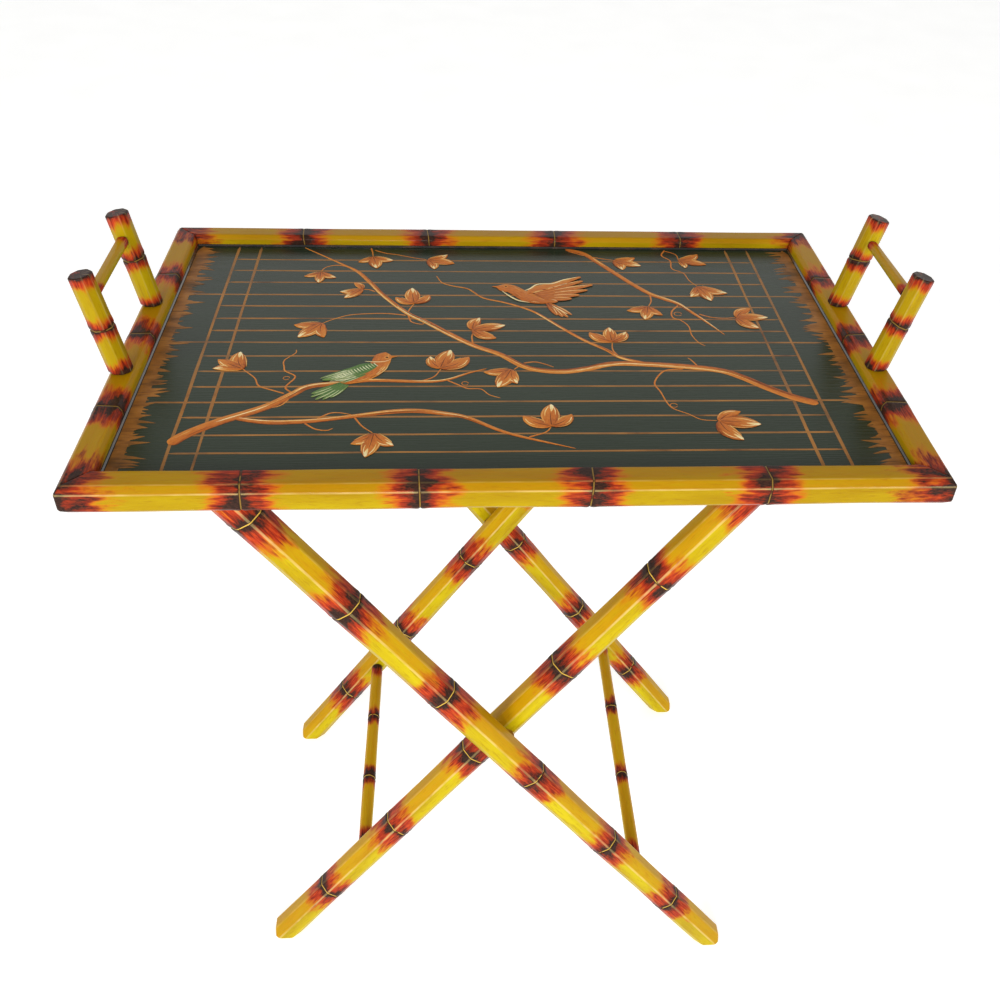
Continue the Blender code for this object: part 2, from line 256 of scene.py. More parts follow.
def black_lacquer():
    """Greenish black japanning, rubbed along X, with faint brush lines and dust nibs."""
    n = Nodes("black_lacquer")
    place = n.place()
    brushed = n.noise(place, 700.0, 4.0, (0.035, 1.0, 1.0))
    cloud = n.noise(place, 9.0, 3.0, (0.4, 1.0, 1.0))
    nib = n.noise(place, 420.0, 1.0)
    ground = n.ramp(cloud, (0.3, (0.016, 0.0255, 0.0120)), (0.7, (0.022, 0.0340, 0.0165)))
    colour = n.mix(n.fade(brushed, 0.45, 0.75, 0.0, 0.6), ground, (0.032, 0.048, 0.026))
    height = n.total(brushed, n.fade(nib, 0.70, 0.78, 0.0, 0.8))
    return n.finish(colour, (brushed, 0.22, 0.34), height, 0.12, 0.0004, Specular_IOR_Level=0.14)


def edge_lacquer():
    """Glossier black of the bead, rubbed through to brown here and there."""
    n = Nodes("edge_lacquer")
    place = n.place()
    patch = n.noise(place, 60.0, 4.0)
    fine = n.noise(place, 900.0, 2.0)
    colour = n.ramp(patch, (0.45, (0.010, 0.009, 0.008)), (0.68, (0.050, 0.028, 0.016)))
    return n.finish(colour, (fine, 0.16, 0.28), fine, 0.15, 0.0003, Coat_Weight=0.5)


def gold_paint():
    """Copper and gold brushwork: the tone runs from brown over copper to pale gold, green on feathers."""
    n = Nodes("gold_paint")
    brush = n.attribute("brush", "Vector")
    hair = n.noise(brush, 2.6, 3.0, (0.12, 1.0, 1.0))
    blot = n.noise(brush, 0.55, 2.0, (0.35, 1.0, 1.0))
    wobble = n.total(n.spread(hair, 0.34), n.spread(blot, 0.24))
    tone = n.math("ADD", n.attribute("tone"), wobble, clamp=True)
    copper = n.ramp(tone, (0.00, (0.030, 0.009, 0.004)), (0.22, (0.21, 0.040, 0.010)),
                    (0.42, (0.57, 0.158, 0.022)), (0.58, (0.71, 0.270, 0.045)),
                    (0.76, (0.84, 0.52, 0.14)), (1.00, (0.96, 0.86, 0.50)))
    leafy = n.ramp(tone, (0.00, (0.014, 0.040, 0.014)), (0.38, (0.085, 0.190, 0.045)),
                   (0.60, (0.30, 0.37, 0.11)), (1.00, (0.88, 0.88, 0.58)))
    colour = n.mix(n.attribute("green"), copper, leafy)
    return n.finish(colour, (hair, 0.34, 0.52), hair, 0.25, 0.0003, Specular_IOR_Level=PAINT_GLOSS)


def line_paint():
    """Thin copper-brown paint of the lattice, the dark ground showing through where it is starved."""
    n = Nodes("line_paint")
    place = n.place()
    starved = n.noise(place, 260.0, 4.0, (0.12, 0.12, 1.0))
    drift = n.noise(place, 14.0, 2.0)
    colour = n.ramp(starved, (0.28, (0.130, 0.052, 0.015)), (0.46, (0.340, 0.140, 0.032)),
                    (0.72, (0.460, 0.205, 0.052)))
    colour = n.mix(n.fade(drift, 0.35, 0.65, 0.0, 0.35), colour, (0.25, 0.140, 0.055))
    return n.finish(colour, (starved, 0.32, 0.48), starved, 0.2, 0.0002, Specular_IOR_Level=PAINT_GLOSS)


def fringe_paint():
    """Dry-brushed copper-brown border: streaks run across the panel's edge."""
    n = Nodes("fringe_paint")
    place = n.place()
    hair = n.noise(place, 520.0, 4.0, (0.10, 1.0, 1.0))
    blot = n.noise(place, 60.0, 3.0, (0.6, 1.0, 1.0))
    colour = n.ramp(blot, (0.30, (0.15, 0.064, 0.013)), (0.52, (0.32, 0.125, 0.023)),
                    (0.74, (0.44, 0.185, 0.036)))
    colour = n.mix(n.fade(hair, 0.50, 0.72, 0.0, 0.75), colour, (0.075, 0.036, 0.016))
    return n.finish(colour, (hair, 0.32, 0.48), hair, 0.25, 0.0003, Specular_IOR_Level=PAINT_GLOSS)


def wood(name, light, dark, roughness):
    """Plain timber, its grain along Y."""
    n = Nodes(name)
    place = n.place()
    figure = n.noise(place, 160.0, 5.0, (1.0, 0.06, 1.0), 0.65)
    pore = n.noise(place, 1100.0, 2.0, (1.0, 0.03, 1.0))
    colour = n.ramp(figure, (0.30, dark), (0.70, light))
    colour = n.mix(n.fade(pore, 0.60, 0.80, 0.0, 0.6), colour, tuple(0.4 * c for c in dark))
    return n.finish(colour, (figure, roughness - 0.08, roughness + 0.08), pore, 0.3, 0.0004)


def metal(name, bright, stained, roughness):
    """Turned metal with fine tool marks and a little staining."""
    n = Nodes(name)
    place = n.place()
    marks = n.noise(place, 1500.0, 2.0, (1.0, 1.0, 6.0))
    stain = n.noise(place, 240.0, 4.0)
    colour = n.ramp(stain, (0.40, bright), (0.75, stained))
    return n.finish(colour, (marks, roughness - 0.08, roughness + 0.12), marks, 0.15, 0.0002, Metallic=1.0)


# ---- making pieces ----

def make_piece(name, body, material, verts, faces, values, sharp_deg=38.0, replaced=()):
    """One visible piece from its vertices and faces, with its painted attributes, riding its body."""
    mesh = bpy.data.meshes.new(name)
    mesh.from_pydata(np.asarray(verts).tolist(), [], faces)
    for key, data in values.items():
        data = np.asarray(data, np.float32)
        if data.ndim == 2:
            mesh.attributes.new(key, "FLOAT_VECTOR", "POINT").data.foreach_set("vector", data.ravel())
        else:
            mesh.attributes.new(key, "FLOAT", "POINT").data.foreach_set("value", data)
    mesh.materials.append(material)
    mesh.shade_smooth()
    mesh.set_sharp_from_angle(angle=math.radians(sharp_deg))
    made = bpy.data.objects.new(name, mesh)
    bpy.context.scene.collection.objects.link(made)
    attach(made, body)
    if replaced:
        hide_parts(*replaced)
    return made


def grid_row(a, b, size):
    """Quads between two closed loops of `size` points that start at a and b."""
    return [(a + k, a + (k + 1) % size, b + (k + 1) % size, b + k) for k in range(size)]


# ---- faux-bamboo members ----

STATION = 0.006
END_EASE = 0.0014
CAP_RINGS = (0.92, 0.75, 0.5, 0.25)
NODE_STEPS = (0.0, 0.0005, 0.0010, 0.0018, 0.0028, 0.0045, 0.0070)
GROOVE = 0.0005
GROOVE_HALF = 0.0010
SWELL = 0.00035
SWELL_AT = 0.0030
SWELL_HALF = 0.0022
SLANT = 0.0016
SLANT_REACH = 0.009
WAVE = 0.00022
END_STEP = 0.0011
END_STEPS = 12
CLEAR_OF_ENDS = 0.002
EASE_SHARE = 0.42
EASE_POINTS = (0.0, 1 / 3, 2 / 3, 1.0)
CREASE_BEND = 0.06
END_CURVE = 1.5
FAR_BANDS = 9.0
FAR_MM = 99.0
GRAIN_SHIFT = np.array([0.31, 0.17, 0.73])


def octagon(width, height, chamfer):
    x, y = width / 2, height / 2
    return [(x, -y + chamfer), (x, y - chamfer), (x - chamfer, y), (-x + chamfer, y),
            (-x, y - chamfer), (-x, -y + chamfer), (-x + chamfer, -y), (x - chamfer, -y)]


def regular_octagon(size):
    return octagon(size, size, size * (1 - math.sqrt(0.5)))


def rounded(outline, reach, spacing=0.004):
    """The outline as a loop of points, each corner eased over `reach` to either side."""
    loop = []
    for i, corner in enumerate(outline):
        here = Vector(corner)
        before = Vector(outline[i - 1]) - here
        after = Vector(outline[(i + 1) % len(outline)]) - here
        start = here + before.normalized() * min(reach, EASE_SHARE * before.length)
        stop = here + after.normalized() * min(reach, EASE_SHARE * after.length)
        for t in EASE_POINTS:
            loop.append(start * (1 - t) ** 2 + here * 2 * t * (1 - t) + stop * t ** 2)
    dense = []
    for i, point in enumerate(loop):
        following = loop[(i + 1) % len(loop)]
        count = max(1, math.ceil((following - point).length / spacing))
        dense += [point.lerp(following, k / count) for k in range(count)]
    return np.array(dense)


def station_list(low, high, rings):
    """Places along a member: evenly spaced, closer at both ends and about each node."""
    close = NODE_STEPS[-1] + STATION / 3
    ends = [END_EASE * share for share in (0.0, 0.1, 0.3, 0.6, 1.0)]
    ends += [END_EASE + END_STEP * k for k in range(1, END_STEPS)]
    count = math.ceil((high - low) / STATION)
    places = [low + (high - low) * k / count for k in range(count + 1)]
    margin = ends[-1] + CLEAR_OF_ENDS
    places = [p for p in places if low + margin < p < high - margin]
    places = [p for p in places if all(abs(p - ring) > close for ring in rings)]
    places += [low + e for e in ends] + [high - e for e in ends]
    places += [ring + sign * step for ring in rings for step in NODE_STEPS for sign in (-1, 1)]
    return sorted(set(round(p, 7) for p in places))


def end_inset(gap):
    """How far the section draws in at `gap` from an eased end."""
    short = END_EASE - max(gap, 0.0)
    return END_EASE - math.sqrt(END_EASE ** 2 - short ** 2) if short > 0 else 0.0


def node_profile(near):
    """Change of the half-width at distance `near` from a node: an incised ring between low swellings."""
    swell = SWELL * math.exp(-((near - SWELL_AT) / SWELL_HALF) ** 2)
    return swell - GROOVE * max(0.0, 1 - near / GROOVE_HALF)


def band_reach(along, bands, column):
    """Distance to the nearest painted band, in lengths of that band."""
    reach = np.full(len(along), FAR_BANDS)
    for band in bands:
        reach = np.minimum(reach, np.abs(along - band[0]) / band[column])
    return reach


def around_section(loop):
    """Each point's outward direction, and 1 where it is on the ridge of an eased crease."""
    ahead = np.roll(loop, -1, 0) - loop
    behind = loop - np.roll(loop, 1, 0)
    ahead /= np.linalg.norm(ahead, axis=1)[:, None]
    behind /= np.linalg.norm(behind, axis=1)[:, None]
    along = ahead + behind
    outward = np.column_stack([along[:, 1], -along[:, 0], np.zeros(len(loop))])
    bent = np.abs(ahead[:, 0] * behind[:, 1] - ahead[:, 1] * behind[:, 0]) > CREASE_BEND
    ridge = bent & np.roll(bent, 1) & np.roll(bent, -1)
    return outward / np.linalg.norm(outward, axis=1)[:, None], ridge.astype(float)


def make_member(name, body, place, loop, centre, cuts, bands, seed, end_zone=0.045, warp=None, deep=0.0,
                crease_highlight=1.0):
    """One faux-bamboo member along local Z that stands for the CAD node of the same name.

    cuts are two functions that give each end's local height over (x, y); a slanted end is evened
    out over end_zone. A band is (place, black half-length, red half-length, whether it has a ring).
    warp moves the finished points before they are placed. deep darkens the ground and the rings;
    crease_highlight says how strong the painted highlight along the creases is, for each point of the
    section or for all."""
    rng = random.Random(seed)
    centre = np.array(centre)
    arm = loop - centre
    half = np.abs(arm).max()
    size = len(loop)
    low_cut, high_cut = cuts
    low, high = float(low_cut(*centre)), float(high_cut(*centre))
    rings = [band[0] for band in bands if band[3]]
    slants = [[rng.uniform(-SLANT, SLANT) for _ in range(3)] for _ in rings]
    waves = [(rng.uniform(14, 45), rng.uniform(0, math.tau)) for _ in range(4)]

    rows = []
    ring_distance = []
    for station in station_list(low, high, rings):
        near = min((abs(station - ring) for ring in rings), default=1.0)
        growth = node_profile(near) - end_inset(station - low) - end_inset(high - station)
        growth += WAVE * sum(math.sin(f * station + p) for f, p in waves) / 2
        points = centre + arm * (1 + growth / half)
        x, y = points[:, 0], points[:, 1]
        z = np.full(size, station)
        z += np.clip(1 - (station - low) / end_zone, 0, 1) ** END_CURVE * (low_cut(x, y) - low)
        z += np.clip(1 - (high - station) / end_zone, 0, 1) ** END_CURVE * (high_cut(x, y) - high)
        for ring, (along_x, along_y, bow) in zip(rings, slants):
            bell = math.exp(-((station - ring) / SLANT_REACH) ** 2)
            u, v = arm[:, 0] / half, arm[:, 1] / half
            z += bell * (along_x * u + along_y * v + 0.5 * bow * u * v)
        rows.append(np.column_stack([x, y, z]))
        ring_distance += [near / MM] * size
    order = list(range(len(rows)))
    for rim, cut, opens in ((rows[0], low_cut, True), (rows[-1], high_cut, False)):
        flats = [centre + (rim[:, :2] - centre) * share for share in CAP_RINGS]
        added = [len(rows) + k for k in range(len(flats))]
        rows += [np.column_stack([flat, cut(flat[:, 0], flat[:, 1])]) for flat in flats]
        ring_distance += [FAR_MM] * size * len(flats)
        order = added[::-1] + order if opens else order + added
    verts = np.concatenate(rows + [np.array([[*centre, low], [*centre, high]])])
    ring_distance += [FAR_MM, FAR_MM]
    faces = []
    for a, b in zip(order, order[1:]):
        faces += grid_row(a * size, b * size, size)
    foot, top = len(verts) - 2, len(verts) - 1
    first, last = order[0] * size, order[-1] * size
    faces += [(foot, first + (k + 1) % size, first + k) for k in range(size)]
    faces += [(top, last + k, last + (k + 1) % size) for k in range(size)]

    outward, crease = around_section(loop)
    # Strength of the painted highlight along each crease of the section.
    crease = crease * crease_highlight
    turned = outward if warp is None else outward[:, [2, 0, 1]]
    # How far each facet faces up; the paint uses it for painted shade on the upper facets and for the
    # painted highlight on the creases.
    upward = (np.array(place.to_3x3()) @ turned.T)[2]
    copies = len(order)
    values = {
        "deep": np.full(len(verts), deep),
        "crease": np.concatenate([np.tile(crease, copies), [0.0, 0.0]]),
        "upward": np.concatenate([np.tile(upward, copies), [0.0, 0.0]]),
        "rod": verts + GRAIN_SHIFT * seed,
        "black_reach": band_reach(verts[:, 2], bands, 1),
        "red_reach": band_reach(verts[:, 2], bands, 2),
        "ring_distance": ring_distance,
    }
    if warp:
        verts = warp(verts)
    world = np.array(place.to_3x3()) @ verts.T
    verts = world.T + np.array(place.translation)
    return make_piece(name, body, BAMBOO, verts, faces, values, replaced=(name,))


def at(x, y, z):
    return Matrix.Translation((x, y, z))


def turn(angle, axis):
    return Matrix.Rotation(angle, 4, axis)


ALONG_Y = turn(math.radians(-90), "X")


def square_cuts(half):
    """Both ends cut square, `half` from the middle."""
    return (lambda x, y: -half + 0 * x, lambda x, y: half + 0 * x)


# ---- tray rails ----

SIDES = {"front": (0.0, TRAY_W, TRAY_D), "right": (90.0, TRAY_D, TRAY_W),
         "back": (180.0, TRAY_W, TRAY_D), "left": (-90.0, TRAY_D, TRAY_W)}
RAIL_RINGS = {"front": (-0.201, -0.073, 0.054, 0.186), "right": (-0.115, -0.002, 0.112),
              "back": (-0.189, -0.058, 0.073, 0.199), "left": (-0.112, 0.002, 0.115)}
RAIL_EASE = 0.0011
RAIL_END_ZONE = 0.060
RAIL_DEEP = 0.46
OUTER_CREASES = 0.008
CORNER_R = 0.0018
MITRE_GAP = 0.00008
CORNER_BLACK = 0.019
CORNER_RED = 0.040
NODE_BLACK = 0.0095
NODE_RED = 0.027


def rail_outline():
    """Rail section as (inwards, up), with the rebate for the panel on its lower inner side."""
    ledge = PANEL_Z - RAIL_LOW.z + FIT
    back = RAIL_W - REBATE_W
    return [(LOW_CHAMFER, 0), (back, 0), (back, ledge), (RAIL_W, ledge),
            (RAIL_W, RAIL_H - INNER_CHAMFER_H), (RAIL_W - INNER_CHAMFER_W, RAIL_H),
            (TOP_CHAMFER_W, RAIL_H), (0, RAIL_H - TOP_CHAMFER_H), (0, LOW_CHAMFER)]


def rail_warp(length):
    """Rounds the tray's corner in plan, then turns (inwards, up, along) into the CAD's rail axes."""
    def warp(verts):
        inwards, up, along = verts.T
        past = np.abs(along) - (length / 2 - CORNER_R)
        short = CORNER_R - inwards
        inside = (past > 0) & (short > 0)
        reach = np.maximum(past, short)
        pull = np.where(inside, reach / np.maximum(np.hypot(past, short), 1e-9), 1.0)
        along = np.where(inside, np.sign(along) * (length / 2 - CORNER_R + past * pull), along)
        inwards = np.where(inside, CORNER_R - short * pull, inwards)
        return np.column_stack([along, inwards, up])
    return warp


def make_rails():
    loop = rounded(rail_outline(), RAIL_EASE)
    # Only the rails' outer creases carry the painted highlight.
    crease_highlight = loop[:, 0] < OUTER_CREASES
    for number, (side, (angle, length, across)) in enumerate(SIDES.items()):
        mitre = length / 2 - MITRE_GAP
        cuts = (lambda x, y, m=mitre: x - m, lambda x, y, m=mitre: m - x)
        bands = [(ring, NODE_BLACK, NODE_RED, True) for ring in RAIL_RINGS[side]]
        bands += [(sign * length / 2, CORNER_BLACK, CORNER_RED, False) for sign in (-1, 1)]
        place = turn(math.radians(angle), "Z") @ at(0, -across / 2, RAIL_LOW.z)
        make_member(f"rail_{side}", "tray", place, loop, RAIL_CENTRE, cuts, bands, 1 + number,
                    end_zone=RAIL_END_ZONE, warp=rail_warp(length), deep=RAIL_DEEP, crease_highlight=crease_highlight)


# ---- handles ----

POST_RINGS = {("left", "front"): 0.0405, ("left", "back"): 0.0450,
              ("right", "front"): 0.0435, ("right", "back"): 0.0468}
POST_EASE = 0.0012
POST_END_ZONE = 0.015
# Strength of the painted highlight along the posts' creases.
POST_CREASE_HIGHLIGHT = 0.45
POST_RED = 0.0105
POST_FOOT_BLACK = 0.0030
POST_NODE_BLACK = 0.0028
POST_TOP_BLACK = 0.0018
BAR_CHAMFER = 0.0018
BAR_EASE = 0.0010
BAR_BLACK = 0.002
BAR_RED = 0.013
HANDLE_DEEP = 0.30
SQUARE_END_ZONE = 0.010


def make_handles():
    post_loop = rounded(regular_octagon(POST_SIZE), POST_EASE)
    bar_loop = rounded(octagon(BAR_W, BAR_H, BAR_CHAMFER), BAR_EASE)
    half = POST_Y - POST_SIZE / 2 - FIT
    seed = 10
    for side, (x, middle, angle) in HANDLES.items():
        lean = turn(angle, "Y")
        length = POST_RISE / math.cos(angle)
        cuts = (lambda u, v, a=angle: u * math.tan(a), lambda u, v, top=length: top + 0 * u)
        for end, sy in (("front", -1), ("back", 1)):
            seed += 1
            bands = [(0.0, POST_FOOT_BLACK, POST_RED, False),
                     (POST_RINGS[side, end], POST_NODE_BLACK, POST_RED, True),
                     (length, POST_TOP_BLACK, POST_RED, False)]
            place = at(x, middle + sy * POST_Y, RIM_Z + FIT) @ lean
            make_member(f"handle_post_{side}_{end}", "tray", place, post_loop, (0, 0), cuts, bands, seed,
                        end_zone=POST_END_ZONE, deep=HANDLE_DEEP, crease_highlight=POST_CREASE_HIGHLIGHT)
        seed += 1
        place = at(x, middle, RIM_Z + FIT) @ lean @ at(0, 0, BAR_RISE / math.cos(angle)) @ ALONG_Y
        bands = [(end, BAR_BLACK, BAR_RED, False) for end in (-half, half)]
        make_member(f"handle_bar_{side}", "tray", place, bar_loop, (0, 0), square_cuts(half), bands, seed,
                    end_zone=SQUARE_END_ZONE, deep=HANDLE_DEEP, crease_highlight=0.0)


# ---- stand ----

LEG_NODES = (0.357, 0.2365, 0.1005, -0.0475, -0.190, -0.328)
LEG_BLACK = 0.0080
LEG_RED = 0.036
LEG_EASE = 0.0016
CROSS_EASE_SHARE = 0.12
CROSS_END_BLACK = 0.005
CROSS_END_RED = 0.020
TOP_RAIL_NODES = (-0.09, 0.0, 0.09)
TOP_RAIL_BAND = (0.010, 0.024)
STRETCHER_NODE_Y = {"outer": 0.053, "inner": 0.046}
STRETCHER_BAND = (0.0065, 0.015)


def leg_cuts(sign):
    """Level cuts at the floor and under the panel, with the sharp outer corners trimmed upright.

    sign is the side that the leg's upper end leans to."""
    cos, sin, tan = math.cos(LEG_ANGLE), math.sin(LEG_ANGLE), math.tan(LEG_ANGLE)

    def cut(height, x):
        level = (height + sign * sin * x) / cos
        corner = abs(height) * tan + LEG_SIZE / 2 / cos - FOOT_TRIM
        outer = math.copysign(corner, height) * sign
        trimmed = (outer - cos * x) / (sign * sin)
        return np.minimum(level, trimmed) if height > 0 else np.maximum(level, trimmed)

    return (lambda x, y: cut(-PIVOT.z, x), lambda x, y: cut(LEG_TOP_Z - PIVOT.z, x))


def make_cross_rail(name, body, tilt, along, size, leg_y, nodes, band, seed):
    """A rail between two legs, `along` them from the pivot, with the same band at each node."""
    half = leg_y - LEG_SIZE / 2 - FIT
    loop = rounded(regular_octagon(size), size * CROSS_EASE_SHARE)
    place = at(*PIVOT) @ tilt @ at(0, 0, along) @ ALONG_Y
    bands = [(y, *band, True) for y in nodes]
    bands += [(end, CROSS_END_BLACK, CROSS_END_RED, False) for end in (-half, half)]
    make_member(name, body, place, loop, (0, 0), square_cuts(half), bands, seed,
                end_zone=SQUARE_END_ZONE, crease_highlight=0.0)


def make_stand():
    loop = rounded(regular_octagon(LEG_SIZE), LEG_EASE)
    seed = 20
    for kind, sign, leg_y, body in (("outer", -1, OUTER_LEG_Y, "outer_frame"),
                                    ("inner", 1, INNER_LEG_Y, "inner_frame")):
        tilt = turn(sign * LEG_ANGLE, "Y")
        for end, sy in (("front", -1), ("back", 1)):
            seed += 1
            rng = random.Random(seed)
            bands = [(node, LEG_BLACK * rng.uniform(0.85, 1.2), LEG_RED * rng.uniform(0.85, 1.12), True)
                     for node in LEG_NODES]
            place = at(PIVOT.x, sy * leg_y, PIVOT.z) @ tilt
            make_member(f"{kind}_leg_{end}", body, place, loop, (0, 0), leg_cuts(sign), bands, seed)
        make_cross_rail(f"{kind}_top_rail", body, tilt, TOP_RAIL_UP, TOP_RAIL_SIZE, leg_y,
                        TOP_RAIL_NODES, TOP_RAIL_BAND, seed + 10)
        node_y = STRETCHER_NODE_Y[kind]
        make_cross_rail(f"{kind}_stretcher", body, tilt, -STRETCHER_DOWN, STRETCHER_SIZE, leg_y,
                        (-node_y, node_y), STRETCHER_BAND, seed + 20)


# ---- brushwork on the panel ----

ACROSS = (-1.0, -0.75, -0.4, 0.0, 0.4, 0.75, 1.0)
CURVE_STEP = 1.6
THINNEST = 0.06
FULL_CROWN = 0.5
SHIFTS = 400


def curve(points, step=CURVE_STEP):
    """Points about `step` apart on a smooth curve through the given ones."""
    knots = [np.array(p, float) for p in points]
    knots = [2 * knots[0] - knots[1]] + knots + [2 * knots[-1] - knots[-2]]
    found = []
    for a, b, c, d in zip(knots, knots[1:], knots[2:], knots[3:]):
        count = max(2, int(np.linalg.norm((c - b)[:2]) / step))
        for k in range(count):
            t = k / count
            found.append(0.5 * (2 * b + (c - a) * t + (2 * a - 5 * b + 4 * c - d) * t ** 2
                                + (3 * b - a - 3 * c + d) * t ** 3))
    found.append(knots[-2])
    return np.array(found)


class Painting:
    """Raised brush strokes, in millimetres on the panel, that end up as one piece."""

    def __init__(self, name, material, base):
        """base is the height above the panel that the strokes' lifts are counted from."""
        self.name = name
        self.material = material
        self.base = base
        self.rng = random.Random(f"{name}0")
        self.verts = []
        self.faces = []
        self.values = {"tone": [], "green": [], "brush": []}

    def stroke(self, path, lift, height, tone, edges=(0.0, 0.0), green=0.0, step=CURVE_STEP):
        """A domed ribbon along (x, y, half-width) points. tone is one number, or its start and end,
        and edges are what is added to it along the stroke's right and left sides."""
        line = curve(path, step)
        centre, width = line[:, :2], np.maximum(line[:, 2], THINNEST)
        run = np.concatenate([[0], np.cumsum(np.linalg.norm(np.diff(centre, axis=0), axis=1))])
        to_end = np.minimum(run, run[-1] - run)
        width = width * np.sqrt(np.clip(1 - (1 - np.clip(to_end / width, 0, 1)) ** 2, 0.02, 1))
        ahead = np.gradient(centre, axis=0)
        ahead /= np.maximum(np.linalg.norm(ahead, axis=1), 1e-9)[:, None]
        left = np.column_stack([-ahead[:, 1], ahead[:, 0]])
        first = len(self.verts)
        size = len(ACROSS)
        tones = tone if isinstance(tone, tuple) else (tone, tone)
        label = self.rng.uniform(0, SHIFTS)
        for i, (point, side, w) in enumerate(zip(centre, left, width)):
            share = run[i] / run[-1]
            crown = height * min(1.0, w / FULL_CROWN)
            for s in ACROSS:
                x, y = point + side * w * s
                z = PANEL_Z + MM * (self.base + lift + crown * math.sqrt(max(0.0, 1 - s * s)))
                self.verts.append((x * MM, y * MM, z))
                edge = edges[1] * max(0.0, s) ** 2 + edges[0] * max(0.0, -s) ** 2
                self.values["tone"].append(tones[0] + (tones[1] - tones[0]) * share + edge)
                self.values["green"].append(green)
                self.values["brush"].append((run[i] + label, w * s + label, label))
        for i in range(len(centre) - 1):
            a, b = first + i * size, first + (i + 1) * size
            self.faces += [(a + k + 1, a + k, b + k, b + k + 1) for k in range(size - 1)]
            self.faces.append((a, a + size - 1, b + size - 1, b))
        last = first + (len(centre) - 1) * size
        self.faces.append(tuple(range(first, first + size)))
        self.faces.append(tuple(range(last + size - 1, last - 1, -1)))

    def finish(self):
        return make_piece(self.name, "tray", self.material, self.verts, self.faces, self.values,
                          sharp_deg=60.0)


# Panel area inside the bead, and the heights of the layers of paint above the lacquer
EDGE_X = (TRAY_W / 2 - RAIL_W) / MM - 2.0
EDGE_Y = (TRAY_D / 2 - RAIL_W) / MM - 2.0
LATTICE_LIFT = 0.02
FRINGE_LIFT = 0.03
BRANCH_LIFT = 0.10
BRANCH_FULLNESS = 1.28
LEAF_LIFT = 0.28
BIRD_LIFT = 0.34

LATTICE_Y = (168, 143.5, 118.5, 93, 70.5, 46.5, 24, 3, -20.5, -46, -70.5, -94, -116, -141, -165)
LATTICE_LONG = (93, 3, -94)
LATTICE_REACH = (-292, 289)
LATTICE_X = (-263, -241, 237, 260)
LINE_HALF = 1.15
LINE_PARTS = 12
LINE_STRAY = 0.25
END_LINE_HALF = 1.20
END_LINE_PARTS = 8
STRIP_PARTS = 20
STRIP_HALF = 4.7
STRIP_IN = 4.6


def make_lattice():
    """Fifteen lines across the panel and two close ones down each end."""
    painting = Painting("painted_lattice", LINE_PAINT, LATTICE_LIFT)
    rng = painting.rng
    for y in LATTICE_Y:
        first, last = LATTICE_REACH if y in LATTICE_LONG else (LATTICE_X[0], LATTICE_X[-1])
        path = [(first + (last - first) * k / LINE_PARTS, y + rng.uniform(-LINE_STRAY, LINE_STRAY),
                 LINE_HALF * rng.uniform(0.82, 1.15)) for k in range(LINE_PARTS + 1)]
        painting.stroke(path, 0.0, 0.05, 0.5, step=6.0)
    for x in LATTICE_X:
        path = [(x + rng.uniform(-LINE_STRAY, LINE_STRAY), -EDGE_Y + 2 * EDGE_Y * k / END_LINE_PARTS,
                 END_LINE_HALF * rng.uniform(0.85, 1.2)) for k in range(END_LINE_PARTS + 1)]
        painting.stroke(path, 0.03, 0.06, 0.5, step=6.0)
    painting.finish()


def make_fringe(side, sign):
    """Brushed border along one short end, its strokes licking inwards like flames."""
    painting = Painting(f"painted_fringe_{side}", FRINGE_PAINT, FRINGE_LIFT)
    rng = painting.rng
    strip = [(sign * (EDGE_X - STRIP_IN), -EDGE_Y + 2 * EDGE_Y * k / STRIP_PARTS, STRIP_HALF)
             for k in range(STRIP_PARTS + 1)]
    painting.stroke(strip, 0.0, 0.03, 0.5, step=8.0)
    y = -EDGE_Y + 2.5
    while y < EDGE_Y - 2.0:
        tongue = rng.random() < 0.42
        depth = rng.uniform(17, 27) if tongue else rng.uniform(8, 16)
        half = rng.uniform(2.2, 3.4) if tongue else rng.uniform(1.8, 2.8)
        tilt = rng.uniform(-4.5, 3.0)
        tip_y = max(-EDGE_Y + 0.4, min(EDGE_Y - 0.4, y + tilt))
        path = [(sign * (EDGE_X - 3), y, half),
                (sign * (EDGE_X - 0.50 * depth), y + 0.22 * tilt, half * 0.85),
                (sign * (EDGE_X - 0.78 * depth), y + 0.62 * tilt, half * 0.42),
                (sign * (EDGE_X - depth), tip_y, 0.12)]
        painting.stroke(path, rng.uniform(0, 0.06), 0.06, 0.5)
        y += rng.uniform(2.2, 4.4)
    painting.finish()


def along_line(line, start, stop, offset, half, count=5):
    """Part of a path, moved sideways by `offset` half-widths and `half` wide in the middle."""
    dense = curve(line, 1.0)
    low, high = int(start * (len(dense) - 1)), int(stop * (len(dense) - 1))
    found = []
    for k in range(count):
        i = low + (high - low) * k // (count - 1)
        x, y, w = dense[i]
        ahead = dense[min(i + 1, len(dense) - 1)] - dense[max(i - 1, 0)]
        run = max(math.hypot(ahead[0], ahead[1]), 1e-6)
        taper = math.sin(math.pi * (k + 0.4) / (count - 0.2))
        found.append((x - ahead[1] / run * w * offset, y + ahead[0] / run * w * offset, half * taper))
    return found


def paint_branch(painting, line, streaks):
    """A limb with a lit upper edge, and streaks of pale and dark paint along it."""
    rng = painting.rng
    line = [(x, y, BRANCH_FULLNESS * half) for x, y, half in line]
    painting.stroke(line, 0.0, 0.22, (0.44, 0.50), edges=(-0.18, 0.08))
    for number in range(streaks):
        start = rng.uniform(0.0, 0.8)
        stop = min(1.0, start + rng.uniform(0.08, 0.22))
        pale = number % 3 != 2
        offset = rng.uniform(0.05, 0.6) if pale else rng.uniform(-0.6, 0.1)
        half = rng.uniform(0.25, 0.60)
        painting.stroke(along_line(line, start, stop, offset, half), 0.16, 0.12,
                        rng.uniform(0.66, 0.92) if pale else rng.uniform(0.12, 0.28))


